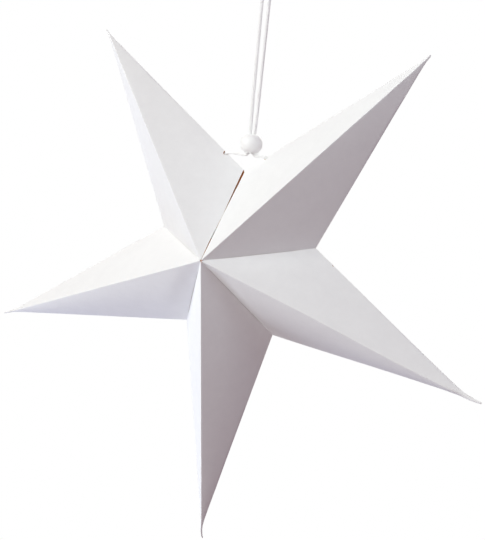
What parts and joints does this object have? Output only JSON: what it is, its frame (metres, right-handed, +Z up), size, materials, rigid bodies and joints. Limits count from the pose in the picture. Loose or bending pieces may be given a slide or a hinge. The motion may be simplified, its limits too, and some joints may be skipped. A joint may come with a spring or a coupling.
{
  "type": "hanging paper star",
  "caption": "Hollow pointed star folded from white card, hung by a looped cord that runs through a round bead and closes the star's open seam.",
  "frame": {"origin": "the point inside the top of the hanging loop that bears on a hook", "axes": "+Z up along the taut cord, +X to the right seen from the front, and the star's front faces -Y"},
  "size_m": [0.5635, 0.1601, 0.5936],
  "materials": {
    "white_card": "matte white outside, plain brown inside",
    "bead_paint": "matte white paint on a turned bead",
    "cotton_cord": "twisted white cotton"
  },
  "bodies": {
    "root": {"arm_upper_right": "white_card", "arm_right": "white_card", "arm_lower": "white_card", "arm_left": "white_card", "arm_upper_left": "white_card", "bead": "bead_paint", "hanging_cord": "cotton_cord", "cord_knots": "cotton_cord"}
  },
  "joints": []
}
